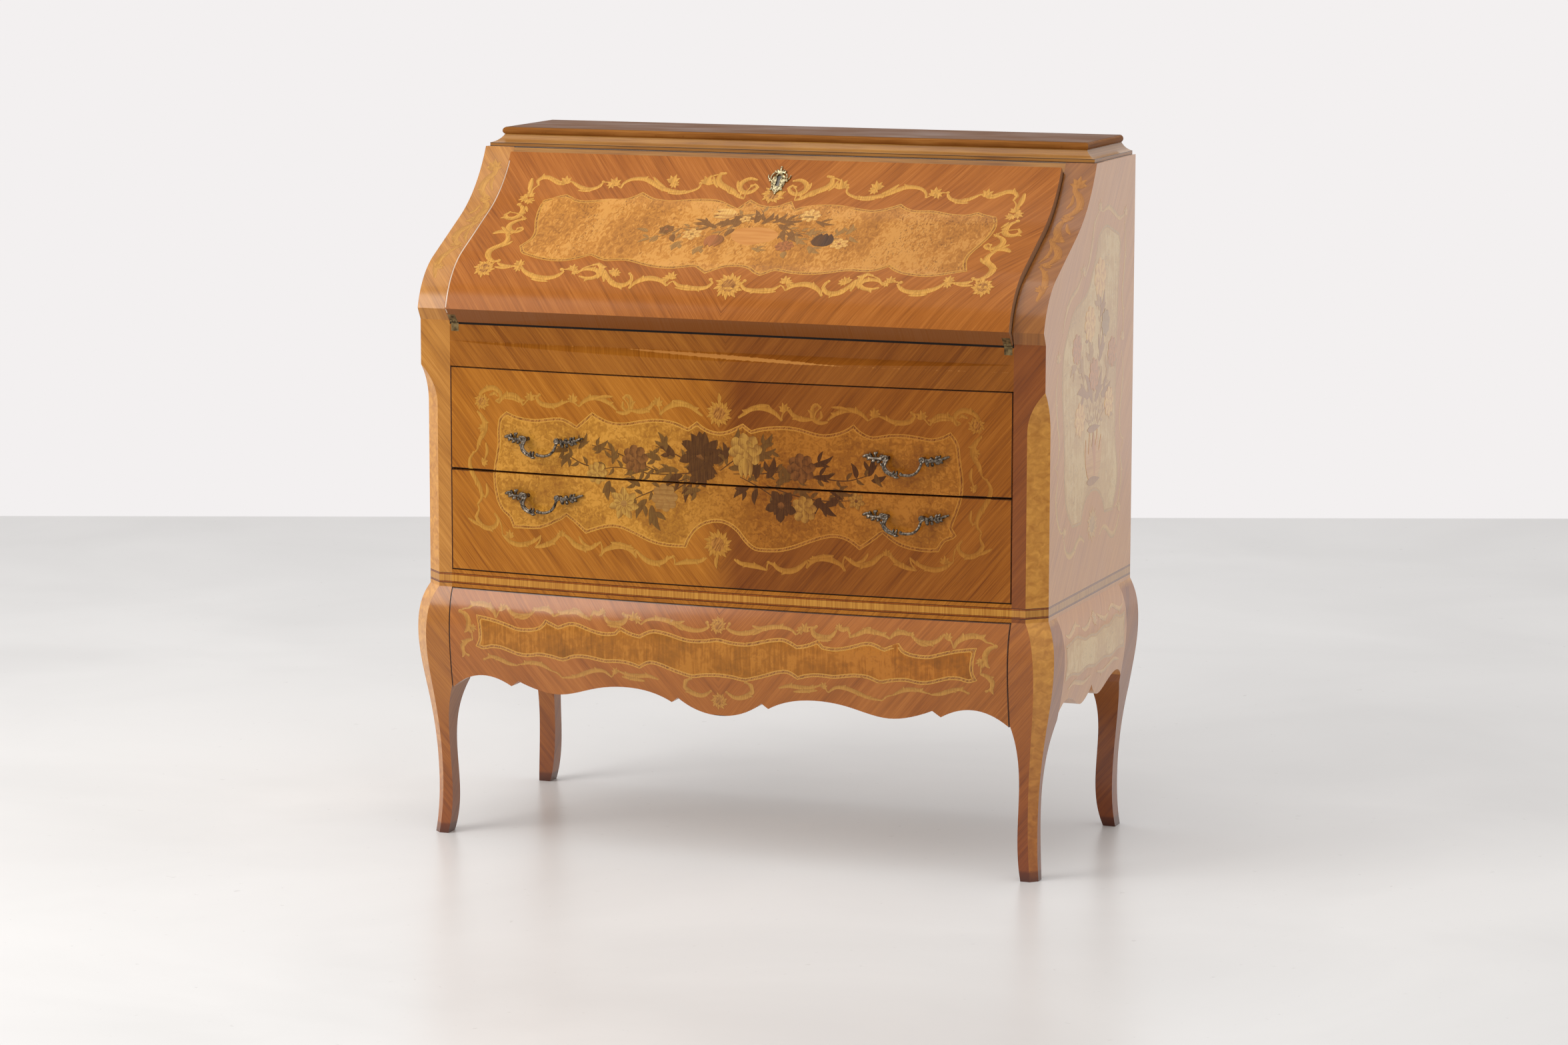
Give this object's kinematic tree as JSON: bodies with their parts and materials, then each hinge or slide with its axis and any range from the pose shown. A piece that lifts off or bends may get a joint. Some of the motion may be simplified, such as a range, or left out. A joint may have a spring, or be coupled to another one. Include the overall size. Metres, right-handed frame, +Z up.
{
  "type": "slant-front desk",
  "caption": "Slant-front desk with an ogee fall, bowed drawers and a shaped apron drawer on cabriole legs, in marquetry veneer.",
  "frame": {"origin": "on the floor, under the middle of the desk's box", "axes": "+X to the sitter's right when facing the desk, +Y to the back, +Z up"},
  "size_m": [0.9812, 0.4695, 1.031],
  "materials": {
    "kingwood_veneer": "satin varnish over marquetry veneer",
    "plain_case_wood": "plain unpolished softwood",
    "bed_veneer": "satin varnish",
    "drawer_box_wood": "plain planed wood",
    "inner_drawer_veneer": "satin varnish",
    "aged_brass": "aged, unpolished",
    "lock_steel": "filed bright steel",
    "antique_cast_metal": "antiqued dark patina with rubbed highlights"
  },
  "bodies": {
    "case": {"stile_left": "kingwood_veneer", "stile_right": "kingwood_veneer", "cheek_left": "kingwood_veneer", "cheek_right": "kingwood_veneer", "side_panel_left": "kingwood_veneer", "side_panel_right": "kingwood_veneer", "back_panel": "plain_case_wood", "case_top": "plain_case_wood", "writing_bed": "bed_veneer", "drawer_divider": "plain_case_wood", "case_bottom": "plain_case_wood", "band_rail": "kingwood_veneer", "drawer_guides": "plain_case_wood", "top_rail": "kingwood_veneer", "strike_plate": "aged_brass", "frieze_rail": "kingwood_veneer", "hinge_case_leaves": "aged_brass", "hinge_pins": "aged_brass", "stay_case_studs": "aged_brass", "cornice": "kingwood_veneer", "top_board": "kingwood_veneer", "gallery_ends": "bed_veneer", "gallery_boards": "bed_veneer", "gallery_dividers": "bed_veneer", "leg_front_left": "kingwood_veneer", "leg_front_right": "kingwood_veneer", "leg_back_left": "kingwood_veneer", "leg_back_right": "kingwood_veneer", "side_apron_left": "kingwood_veneer", "side_apron_right": "kingwood_veneer", "stand_back_rail": "plain_case_wood", "apron_runners": "plain_case_wood"},
    "fall": {"fall_board": "kingwood_veneer", "hinge_fall_leaves": "aged_brass", "lock_case": "aged_brass", "escutcheon": "aged_brass", "stay_fall_brackets": "aged_brass"},
    "lock_bolt": {"lock_bolt": "lock_steel"},
    "stay_case_arms": {"stay_case_arms": "aged_brass"},
    "stay_fall_arms": {"stay_fall_arms": "aged_brass"},
    "upper_drawer": {"upper_drawer_front": "kingwood_veneer", "upper_drawer_sides": "drawer_box_wood", "upper_drawer_back": "drawer_box_wood", "upper_drawer_bottom": "drawer_box_wood", "upper_drawer_handles": "antique_cast_metal"},
    "lower_drawer": {"lower_drawer_front": "kingwood_veneer", "lower_drawer_sides": "drawer_box_wood", "lower_drawer_back": "drawer_box_wood", "lower_drawer_bottom": "drawer_box_wood", "lower_drawer_handles": "antique_cast_metal"},
    "apron_drawer": {"apron_drawer_front": "kingwood_veneer", "apron_drawer_sides": "drawer_box_wood", "apron_drawer_back": "drawer_box_wood", "apron_drawer_bottom": "drawer_box_wood"},
    "inner_drawer_left": {"inner_drawer_left_front": "inner_drawer_veneer", "inner_drawer_left_tray": "drawer_box_wood", "inner_drawer_left_knob": "aged_brass"},
    "inner_drawer_right": {"inner_drawer_right_front": "inner_drawer_veneer", "inner_drawer_right_tray": "drawer_box_wood", "inner_drawer_right_knob": "aged_brass"}
  },
  "joints": [
    {"name": "fall_hinge", "type": "hinge", "parent": "case", "child": "fall", "pos_m": [0, -0.20312, 0.766], "axis": [1, 0, 0], "range_deg": [0, 138.6]},
    {"name": "lock_bolt_throw", "type": "slide", "parent": "fall", "child": "lock_bolt", "axis": [0, 0.7501, 0.6613], "range_m": [0, 0.009]},
    {"name": "stay_case_arm_turn", "type": "hinge", "parent": "case", "child": "stay_case_arms", "pos_m": [0, -0.11122, 0.83], "axis": [1, 0, 0], "range_deg": [0, 214.7]},
    {"name": "stay_fall_arm_turn", "type": "hinge", "parent": "fall", "child": "stay_fall_arms", "pos_m": [0, -0.0672, 0.8689], "axis": [1, 0, 0], "range_deg": [-79.3, 0]},
    {"name": "upper_drawer_slide", "type": "slide", "parent": "case", "child": "upper_drawer", "axis": [0, -1, 0], "range_m": [0, 0.29]},
    {"name": "lower_drawer_slide", "type": "slide", "parent": "case", "child": "lower_drawer", "axis": [0, -1, 0], "range_m": [0, 0.29]},
    {"name": "apron_drawer_slide", "type": "slide", "parent": "case", "child": "apron_drawer", "axis": [0, -1, 0], "range_m": [0, 0.26]},
    {"name": "inner_drawer_left_slide", "type": "slide", "parent": "case", "child": "inner_drawer_left", "axis": [0, -1, 0], "range_m": [0, 0.12]},
    {"name": "inner_drawer_right_slide", "type": "slide", "parent": "case", "child": "inner_drawer_right", "axis": [0, -1, 0], "range_m": [0, 0.12]}
  ],
  "couplings": [
    {"joint": "stay_case_arm_turn", "follows": "fall_hinge", "ratio": 1.5484},
    {"joint": "stay_fall_arm_turn", "follows": "fall_hinge", "ratio": -0.5713}
  ]
}
